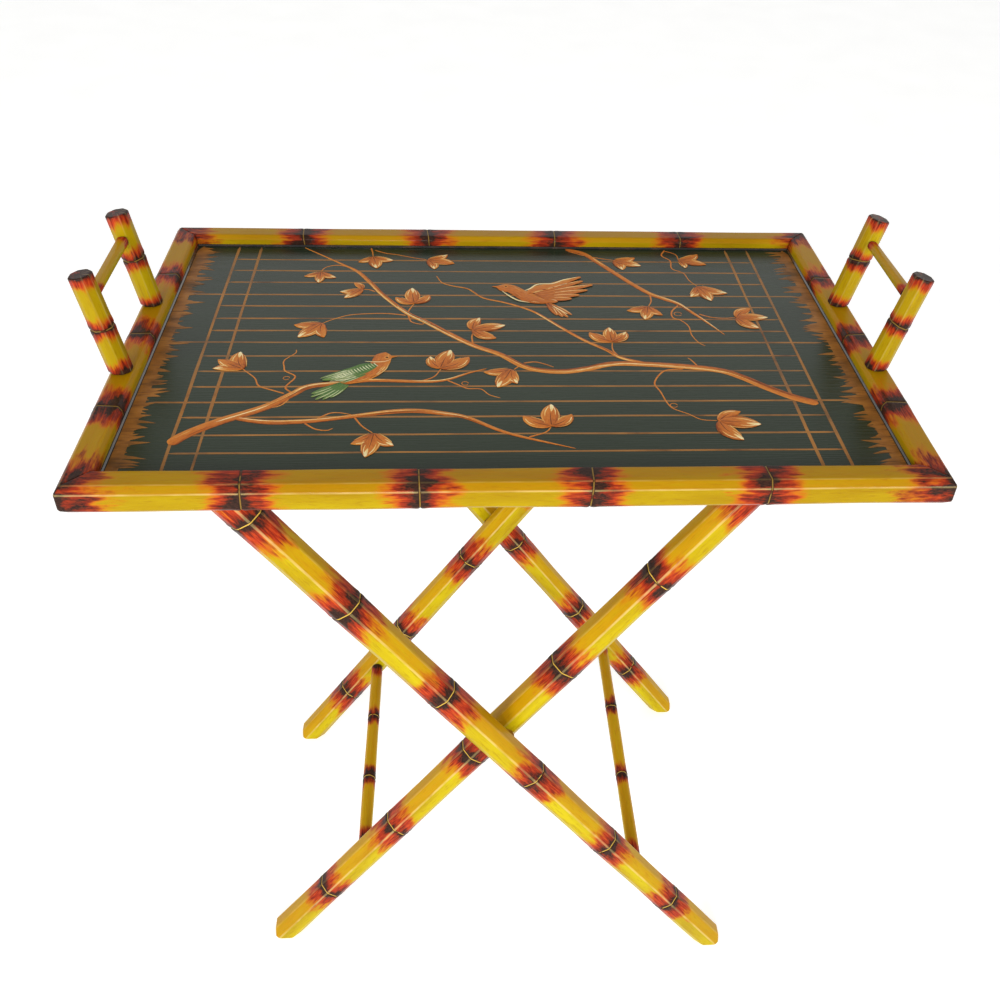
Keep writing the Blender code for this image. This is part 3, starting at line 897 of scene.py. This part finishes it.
def paint_twig(painting, line, half=0.85, tip=0.42):
    """A stalk or tendril that thins towards its end."""
    count = len(line) - 1
    path = [(x, y, half + (tip - half) * k / count) for k, (x, y) in enumerate(line)]
    painting.stroke(path, -0.04, 0.12, (0.46, 0.52), edges=(-0.08, 0.06), step=1.0)


TRUNK_LEFT = [(-264, -153, 4.2), (-254, -140, 4.0), (-233, -123, 3.8), (-198, -101, 3.4), (-179, -82, 3.0),
              (-166, -70, 2.7), (-135, -64, 2.2), (-115, -61, 1.9), (-72, -63, 1.6), (-53, -60, 1.2),
              (-36, -50, 0.9), (-19, -42, 0.35)]
LIMB_LEFT = [(-222, -117, 1.6), (-195, -123, 2.4), (-164, -122, 2.3), (-136, -117, 2.0), (-98, -109, 2.4),
             (-76, -108, 2.4), (-55, -112, 2.2), (-37, -118, 1.8), (-12, -136, 1.4), (5, -145, 1.2),
             (22, -152, 0.9), (47, -162, 0.3)]
TRUNK_RIGHT = [(257, -99, 3.7), (238, -89, 3.6), (218, -73, 3.4), (201, -57, 3.3), (182, -45, 3.2),
               (140, -37, 3.2), (94, -34, 3.0), (69, -42, 3.0), (48, -47, 2.9), (27, -45, 2.7),
               (11, -37, 2.5), (-7, -18, 2.4), (-29, -3, 2.3), (-52, 19, 2.4), (-73, 41, 2.3),
               (-90, 57, 2.0), (-113, 91, 1.9), (-127, 118, 1.8), (-141, 142, 1.5), (-157, 158, 1.0),
               (-198, 196, 0.5)]
LIMB_BIRD = [(120, -33, 1.2), (100, -24, 1.7), (88, -10, 1.6), (70, 7, 1.4), (52, 29, 1.3), (30, 58, 1.1),
             (14, 71, 1.0), (-2, 80, 0.9), (-19, 88, 0.8), (-33, 106, 0.7), (-47, 112, 0.6),
             (-58, 119, 0.5), (-64, 134, 0.3)]
LIMB_RIGHT = [(69, 196, 2.4), (86, 187, 2.4), (99, 167, 2.3), (114, 142, 2.2), (128, 119, 2.1),
              (143, 98, 2.2), (156, 87, 2.2), (167, 78, 1.9), (175, 65, 1.5), (186, 46, 1.1), (201, 17, 0.3)]

TWIGS_LEFT = [
    [(-179, -83), (-186, -98), (-196, -103)],
    [(-186, -81), (-196, -76), (-208, -69), (-213, -57), (-222, -46), (-226, -41)],
    [(-181, -79), (-186, -71), (-180, -55), (-189, -46), (-191, -39), (-192, -28), (-184, -16), (-184, -10)],
    [(-74, -62), (-64, -55), (-58, -42)],
    [(-53, -61), (-44, -68), (-36, -74), (-25, -75), (-18, -84), (-9, -89)],
    [(11, -146), (25, -139), (30, -131)],
    [(-127, -116), (-120, -129), (-111, -139)],
    [(-165, -125), (-156, -133), (-147, -135), (-142, -132)],
    [(-156, -119), (-147, -111), (-139, -110), (-129, -113)],
]
TWIGS_RIGHT = [
    [(-122, 100), (-128, 104), (-134, 104)],
    [(-150, 153), (-163, 156), (-173, 151), (-177, 141)],
    [(-90, 57), (-87, 68), (-84, 76)],
    [(-91, 53), (-107, 56), (-123, 56), (-143, 53), (-158, 44), (-166, 37)],
    [(-89, 53), (-86, 41), (-77, 36), (-73, 39)],
    [(-30, -1), (-31, 13), (-29, 24)],
    [(11, -35), (4, -44)],
    [(98, -22), (94, -10), (95, 3)],
    [(166, -40), (162, -29), (159, -24)],
    [(13, -33), (23, -31), (32, -35), (39, -40)],
    [(152, -43), (137, -45), (129, -53), (123, -67), (126, -80), (129, -97), (133, -106), (144, -114),
     (153, -122), (166, -124)],
    [(184, 57), (194, 51), (206, 49), (218, 50)],
    [(143, 96), (142, 82), (138, 72)],
    [(167, 74), (159, 62), (158, 50), (165, 44), (170, 33), (170, 17), (174, 3), (179, -3)],
    [(173, 196), (168, 183), (175, 171), (174, 153), (184, 143), (187, 127), (193, 114)],
    [(173, 194), (183, 186), (184, 172)],
    [(-131, 196), (-129, 186), (-128, 176)],
    [(-127, 191), (-115, 184), (-104, 181), (-87, 174), (-74, 170)],
    [(71, 192), (87, 182), (104, 175), (117, 171)],
]
# Small curls of the tendrils: centre and radius
CURLS = [(-187, -57, 2.6), (-38, -66, 2.8), (134, -101, 3.0), (164, 57, 3.6)]


def make_branches():
    for name, line, streaks in (("trunk_left", TRUNK_LEFT, 16), ("limb_left", LIMB_LEFT, 12),
                                ("trunk_right", TRUNK_RIGHT, 26), ("limb_bird", LIMB_BIRD, 7),
                                ("limb_right", LIMB_RIGHT, 10)):
        painting = Painting(f"branch_{name}", GOLD_PAINT, BRANCH_LIFT)
        paint_branch(painting, line, streaks)
        painting.finish()
    for name, twigs in (("twigs_left", TWIGS_LEFT), ("twigs_right", TWIGS_RIGHT)):
        painting = Painting(name, GOLD_PAINT, BRANCH_LIFT)
        for line in twigs:
            paint_twig(painting, line)
        painting.finish()
    painting = Painting("tendril_curls", GOLD_PAINT, BRANCH_LIFT)
    for x, y, radius in CURLS:
        turns = [(x + radius * math.cos(a), y + radius * math.sin(a)) for a in np.linspace(0, 5.9, 11)]
        paint_twig(painting, turns, 0.4, 0.3)
    painting.finish()


LOBE_BENDS = (1, 0.2, -1)
LOBE_LIFTS = (0.0, 0.10, 0.06)
# Leaves: stalk end, the tips of the three lobes, and which lobes end in pale gold
LEAVES = [
    ((-177, 140), ((-192, 131), (-177, 117), (-161, 128)), (1, 2)),
    ((-128, 175), ((-142, 163), (-123, 149), (-107, 167)), (1, 2)),
    ((-73, 169), ((-66, 148), (-46, 161), (-53, 181)), (0, 2)),
    ((-134, 104), ((-155, 99), (-150, 86), (-143, 118)), (0, 1)),
    ((-84, 76), ((-102, 88), (-87, 107), (-70, 93)), (1,)),
    ((-166, 37), ((-191, 34), (-185, 11), (-162, 11)), (1,)),
    ((-30, 25), ((-23, 48), (0, 34), (-9, 10)), (0, 1)),
    ((-225, -43), ((-231, -14), (-248, -27), (-250, -42)), (0, 2)),
    ((-59, -42), ((-68, -22), (-50, -11), (-34, -23)), (0, 1)),
    ((2, -44), ((-22, -48), (-11, -73), (6, -67)), (1, 2)),
    ((116, 170), ((123, 149), (143, 158), (139, 177)), (0, 1)),
    ((184, 171), ((188, 154), (211, 162), (206, 186)), (0,)),
    ((193, 113), ((182, 91), (201, 83), (220, 99)), (0, 1, 2)),
    ((137, 71), ((116, 63), (131, 45), (149, 54)), (1,)),
    ((219, 50), ((236, 68), (249, 50), (236, 29)), (1, 2)),
    ((95, 4), ((76, 21), (95, 30), (110, 22)), (1, 2)),
    ((30, -131), ((8, -116), (32, -99), (48, -114)), (1,)),
    ((167, -125), ((188, -111), (201, -130), (182, -152)), (1, 2)),
    ((-110, -140), ((-127, -154), (-115, -172), (-94, -157)), (1, 2)),
]


def paint_lobe(painting, stem, tip, pale, bend, lift):
    """One leaf lobe: a domed blade, dark veins, lit edges and sometimes a pale tip."""
    rng = painting.rng
    root, point = Vector(stem), Vector(tip)
    axis = point - root
    normal = Vector((-axis.y, axis.x)).normalized()
    half = axis.length * rng.uniform(0.215, 0.255)

    def paint(above, height, tone, *stations, **look):
        """Each station is (share of the way, half-widths to the left, width)."""
        path = []
        for share, sideways, width in stations:
            bow = bend * 0.10 * axis.length * math.sin(math.pi * share)
            path.append((*(root + axis * share + normal * (bow + sideways * half)), width))
        painting.stroke(path, lift + above, height, tone, **look)

    paint(0.0, 0.30, (0.36, 0.52), (0.0, 0, half * 0.30), (0.25, 0, half * 0.86),
          (0.50, 0, half * 1.05), (0.76, 0, half * 0.78), (0.93, 0, half * 0.30), (1.0, 0, half * 0.06),
          edges=(-0.16, 0.06), step=1.0)
    paint(0.26, 0.08, (0.06, 0.20), (0.02, 0, 0.42), (0.40, 0, 0.40), (0.74, 0, 0.14))
    for sign in (-1, 1):
        start = rng.uniform(0.12, 0.22)
        for off in (start, start + 0.20):
            paint(0.22, 0.08, 0.18, (off, 0, 0.20), (off + 0.14, sign * 0.40, 0.22),
                  (off + 0.24, sign * 0.66, 0.10))
        paint(0.12, 0.14, rng.choice((0.22, 0.68, 0.76)), (0.10, sign * 0.62, 0.16),
              (0.45, sign * 0.93, 0.30), (0.80, sign * 0.66, 0.16))
    lit = 1 if bend >= 0 else -1
    paint(0.20, 0.12, (0.70, 0.95), (0.38, lit * 0.60, 0.20), (0.64, lit * 0.56, 0.55),
          (0.90, lit * 0.22, 0.32))
    if pale:
        paint(0.22, 0.12, (0.78, 1.0), (0.62, -lit * 0.10, 0.30), (0.82, -lit * 0.10, half * 0.24),
              (0.99, 0, half * 0.16))
        paint(0.22, 0.12, (0.74, 0.96), (0.48, -lit * 0.52, 0.2), (0.68, -lit * 0.52, 0.42),
              (0.88, -lit * 0.30, 0.22))


def make_leaves():
    for number, (stem, tips, pale) in enumerate(LEAVES, 1):
        painting = Painting(f"leaf_{number:02d}", GOLD_PAINT, LEAF_LIFT)
        for place, (tip, bend, lift) in enumerate(zip(tips, LOBE_BENDS, LOBE_LIFTS)):
            paint_lobe(painting, stem, tip, place in pale, bend, lift)
        painting.finish()


def between(a, b, share):
    return tuple(p + (q - p) * share for p, q in zip(a, b))


def paint_feather(painting, root, tip, half, lift, tone, green=0.0):
    """A long blade with a dark shaft line and a pale edge."""
    (x0, y0), (x1, y1) = root, tip
    middle = between(root, tip, 0.6)
    painting.stroke([(x0, y0, half * 0.55), (*middle, half), (x1, y1, half * 0.35)], lift, 0.14,
                    (tone - 0.06, tone + 0.06), edges=(-0.20, 0.10), green=green)
    painting.stroke([(x0, y0, 0.2), (*middle, 0.28), (*between(root, tip, 0.95), 0.15)], lift + 0.13, 0.06,
                    max(0.05, tone - 0.26), green=green)
    offset = half * 0.62 / math.hypot(x1 - x0, y1 - y0)
    dx, dy = (y0 - y1) * offset, (x1 - x0) * offset
    (ax, ay), (bx, by) = between(root, tip, 0.35), between(root, tip, 0.93)
    edge = [(ax + dx, ay + dy, 0.2), ((ax + bx) / 2 + dx, (ay + by) / 2 + dy, 0.36),
            (bx + dx * 0.5, by + dy * 0.5, 0.15)]
    painting.stroke(edge, lift + 0.12, 0.08, 0.86, green=green)


def paint_flecks(painting, line, count, first, last, run, side, lift, tones):
    """Short touches scattered along a body, no further off its middle than `side` half-widths."""
    rng = painting.rng
    for _ in range(count):
        share = rng.uniform(first, last)
        path = along_line(line, share, share + run, rng.uniform(-side, side), 0.26, 4)
        painting.stroke(path, lift, 0.08, rng.choice(tones))


def paint_eye(painting, x, y, lift):
    ring = [(x + 1.9 * math.cos(a), y + 2.1 * math.sin(a), 0.34) for a in np.linspace(0, 6.0, 9)]
    painting.stroke(ring, lift, 0.06, 0.62, step=0.4)
    painting.stroke([(x - 0.9, y, 1.0), (x, y, 1.25), (x + 0.9, y, 1.0)], lift + 0.02, 0.10, 0.0, step=0.3)


def make_perched_bird():
    """Copper bird looking right along the left trunk, with a green wing and tail."""
    painting = Painting("bird_perched", GOLD_PAINT, BIRD_LIFT)
    stroke, rng = painting.stroke, painting.rng
    for k, tip in enumerate(((-164, -82), (-164, -87), (-160, -91), (-154, -91), (-148, -88))):
        paint_feather(painting, between((-141, -65), (-135, -68), k / 4), tip, 2.5, 0.0, 0.44, 1.0)
    body = [(-136, -65, 2.2), (-126, -59, 5.2), (-118, -50, 7.6), (-113, -41, 8.4), (-110, -32, 8.0),
            (-109, -26, 7.8), (-107.5, -20, 7.2), (-106.5, -15.5, 3.8)]
    stroke(body, 0.0, 0.45, (0.38, 0.44), edges=(0.12, -0.06), step=1.0)
    beak = [(-104.5, -24, 4.6), (-101, -22.8, 1.7), (-96, -22.2, 0.2)]
    stroke(beak, 0.1, 0.25, 0.46, step=0.8)
    paint_flecks(painting, body, 34, 0.05, 0.88, 0.11, 0.85, 0.36, (0.16, 0.24, 0.60, 0.72, 0.84))
    wing = [(-113, -38, 4.0), (-121, -41, 7.6), (-129, -47, 8.2), (-138, -53, 6.8), (-149, -58, 4.0),
            (-157, -61, 1.0)]
    stroke(wing, 0.30, 0.35, (0.34, 0.46), green=1.0, step=1.0)
    for k in range(7):
        root, tip = between((-128, -38), (-121, -52), k / 6), between((-159, -59), (-140, -66), k / 6)
        paint_feather(painting, root, tip, 1.5, 0.52, 0.46, 1.0)
    for k in range(15):
        x, y = between((-116, -33.5), (-148, -54), k / 14)
        barb = [(x, y, 0.2), (x + 1.6, y - 3, 0.50), (x + 4.4, y - 6.5, 0.12)]
        stroke(barb, 0.70, 0.10, rng.uniform(0.72, 0.98), green=1.0, step=1.0)
    for k in range(8):
        x, y = between((-129, -57), (-133, -45), k / 7)
        barb = [(x, y, 0.2), (x - 10, y - 4.5, 0.42), (x - 22 + k, y - 7.5, 0.15)]
        stroke(barb, 0.72, 0.10, rng.uniform(0.74, 1.0), green=1.0, step=1.0)
    stroke([(-124, -31, 0.2), (-114, -32, 0.55), (-106, -31, 0.4), (-101, -27, 0.15)], 0.48, 0.1, 0.90)
    stroke([(-103, -34, 0.15), (-105, -44, 0.4), (-112, -54, 0.15)], 0.34, 0.1, 0.80)
    paint_eye(painting, -105, -24.5, 0.42)
    painting.finish()


def make_flying_bird():
    """Copper bird flying left, wings raised and tail spread."""
    painting = Painting("bird_flying", GOLD_PAINT, BIRD_LIFT)
    stroke, rng = painting.stroke, painting.rng
    for tip in ((49, 53), (54, 50), (59, 49), (63, 54)):
        paint_feather(painting, (41, 79), tip, 3.0, 0.0, 0.44)
    stroke([(46, 72, 0.3), (52, 64, 0.6), (59, 55, 0.3)], 0.3, 0.1, 0.98)
    body = [(44, 79, 1.8), (35, 82, 6.5), (25, 88, 9.2), (16, 98, 7.8), (9, 106, 7.6), (4, 108, 8.2),
            (0, 109, 7.2), (-3.5, 110, 3.8), (-6, 110.5, 1.2), (-10, 111, 0.2)]
    stroke(body, 0.05, 0.5, (0.40, 0.44), edges=(0.10, -0.06), step=1.0)
    paint_flecks(painting, body, 22, 0.08, 0.72, 0.12, 0.8, 0.46, (0.18, 0.24, 0.62, 0.74, 0.84))
    for k, tip in enumerate(((52, 80), (66, 86), (74, 94), (83, 104), (89, 115), (80, 123), (79, 132))):
        paint_feather(painting, between((40, 82), (26, 100), k / 6), tip, 4.3, 0.30 + 0.03 * k, 0.46)
    cover = [(24, 96, 2.5), (33, 105, 6.0), (45, 110, 6.5), (58, 117, 4.0), (68, 124, 1.2)]
    stroke(cover, 0.50, 0.25, (0.42, 0.50), edges=(-0.05, 0.12), step=1.0)
    for k in range(14):
        x, y = between((28, 98), (60, 117), k / 13)
        barb = [(x, y, 0.2), (x + 4, y + 0.5, 0.4), (x + 10, y + 4, 0.12)]
        stroke(barb, 0.66, 0.1, rng.choice((0.18, 0.24, 0.80, 0.92)), step=1.0)
    upper_edge = [(21, 101, 0.3), (27, 106, 0.85), (35, 115, 0.8), (50, 117, 0.7), (61, 125, 0.6),
                  (75, 131, 0.2)]
    stroke(upper_edge, 0.70, 0.1, 0.94)
    stroke([(-1, 102, 0.2), (6, 91, 0.85), (14, 82, 0.85), (25, 77.5, 0.3)], 0.40, 0.1, 0.92)
    paint_eye(painting, 3.5, 110, 0.56)
    painting.finish()


# ---- carried-over CAD nodes ----

def dress_cad_nodes():
    looks = {"tray_panel": (LACQUER, "black_lacquer")}
    for side in SIDES:
        looks[f"bead_{side}"] = (EDGE_LACQUER, "black_lacquer")
    for end in ("front", "back"):
        looks[f"pivot_pin_{end}"] = (STEEL, "steel")
        looks[f"pivot_washer_{end}"] = (BRASS, "brass")
        for side in ("left", "right"):
            looks[f"corner_spline_{end}_{side}"] = (RAW_WOOD, "raw_wood")
            looks[f"post_screw_{side}_{end}"] = (STEEL, "steel")
            looks[f"cleat_screw_{side}_{end}"] = (STEEL, "steel")
    for side in ("left", "right"):
        looks[f"cleat_{side}"] = (DARK_WOOD, "dark_wood")
    for node, (material, slot) in looks.items():
        piece = frame["nodes"][node]
        piece.data.materials.clear()
        piece.data.materials.append(material)


# ---- floor, light and camera ----

FLOOR_HALF = 12.0
CAMERA_AT = (-0.0436, -0.8317, 1.1697)
PITCH = math.radians(39.14)
YAW = math.radians(5.63)
ROLL = math.radians(2.86)
LENS = 38.1
SHIFT = (-0.0409, 0.0238)
SENSOR = 36.0
FLOOR_GLOW = 0.50
SURROUND = (0.40, 0.92, 0.40, 1.25)
AIM = (0, 0, 0.4)
# Soft lights: name, place, what they point at, size and power
SOFT_LIGHTS = [("soft_left", (-2.4, -3.2, 2.0), AIM, (1.6, 1.2), 84.0),
               ("soft_right", (2.2, -3.4, 1.7), AIM, (1.2, 1.2), 68.0),
               ("soft_front", (-0.4, -3.2, 1.7), (0, 0, 0.5), (0.5, 0.5), 22.0)]


def make_floor():
    """A flat white floor that glows a little."""
    mesh = bpy.data.meshes.new("floor")
    corners = [(x * FLOOR_HALF, y * FLOOR_HALF, 0.0) for x, y in ((-1, -1), (1, -1), (1, 1), (-1, 1))]
    mesh.from_pydata(corners, [], [(0, 1, 2, 3)])
    n = Nodes("floor_paint")
    speck = n.noise(n.place(), 6.0, 3.0)
    paper = n.ramp(speck, (0.3, (0.90, 0.90, 0.89)), (0.7, (0.93, 0.93, 0.92)))
    n.set(Base_Color=paper, Emission_Color=paper, Emission_Strength=FLOOR_GLOW, Roughness=0.8)
    mesh.materials.append(n.material)
    floor = bpy.data.objects.new("floor", mesh)
    bpy.context.scene.collection.objects.link(floor)


def soft_light(name, place, target, size, power):
    data = bpy.data.lights.new(name, "AREA")
    data.shape = "RECTANGLE"
    data.size, data.size_y = size
    data.energy = power
    made = bpy.data.objects.new(name, data)
    made.location = place
    made.rotation_euler = (Vector(target) - Vector(place)).to_track_quat("-Z", "Y").to_euler()
    bpy.context.scene.collection.objects.link(made)


def make_light():
    """Three soft lights before the tray, and a surround that is brightest behind it."""
    world = bpy.data.worlds.new("studio")
    world.use_nodes = True
    tree = world.node_tree
    background = tree.nodes["Background"]
    background.inputs["Color"].default_value = (1.0, 1.0, 1.0, 1.0)
    direction = tree.nodes.new("ShaderNodeTexCoord")
    axes = tree.nodes.new("ShaderNodeSeparateXYZ")
    strength = tree.nodes.new("ShaderNodeMapRange")
    strength.interpolation_type = "SMOOTHSTEP"
    for socket, number in zip(RANGE_SOCKETS, SURROUND):
        strength.inputs[socket].default_value = number
    tree.links.new(direction.outputs["Generated"], axes.inputs[0])
    tree.links.new(axes.outputs["Y"], strength.inputs["Value"])
    tree.links.new(strength.outputs[0], background.inputs["Strength"])
    bpy.context.scene.world = world
    for light in SOFT_LIGHTS:
        soft_light(*light)
    bpy.context.scene.view_settings.view_transform = "Standard"


def make_camera():
    data = bpy.data.cameras.new("photo_camera")
    data.lens = LENS
    data.sensor_width = SENSOR
    data.shift_x, data.shift_y = SHIFT
    ahead = Vector((math.sin(YAW) * math.cos(PITCH), math.cos(YAW) * math.cos(PITCH), -math.sin(PITCH)))
    level = Vector((math.cos(YAW), -math.sin(YAW), 0))
    upward = level.cross(ahead)
    right = math.cos(ROLL) * level + math.sin(ROLL) * upward
    up = math.cos(ROLL) * upward - math.sin(ROLL) * level
    turned = Matrix((right, up, -ahead)).transposed().to_4x4()
    made = bpy.data.objects.new("photo_camera", data)
    made.matrix_world = Matrix.Translation(CAMERA_AT) @ turned
    bpy.context.scene.collection.objects.link(made)
    bpy.context.scene.camera = made


BAMBOO = bamboo_paint()
LACQUER = black_lacquer()
EDGE_LACQUER = edge_lacquer()
GOLD_PAINT = gold_paint()
LINE_PAINT = line_paint()
FRINGE_PAINT = fringe_paint()
RAW_WOOD = wood("raw_wood", (0.52, 0.36, 0.20), (0.38, 0.24, 0.12), 0.55)
DARK_WOOD = wood("dark_wood", (0.050, 0.030, 0.020), (0.020, 0.013, 0.009), 0.42)
STEEL = metal("steel", (0.56, 0.56, 0.57), (0.26, 0.24, 0.22), 0.32)
BRASS = metal("brass", (0.72, 0.52, 0.22), (0.34, 0.22, 0.09), 0.30)

make_floor()
make_light()
make_camera()
make_rails()
make_handles()
make_stand()
make_lattice()
make_fringe("left", -1)
make_fringe("right", 1)
make_branches()
make_leaves()
make_perched_bird()
make_flying_bird()
dress_cad_nodes()
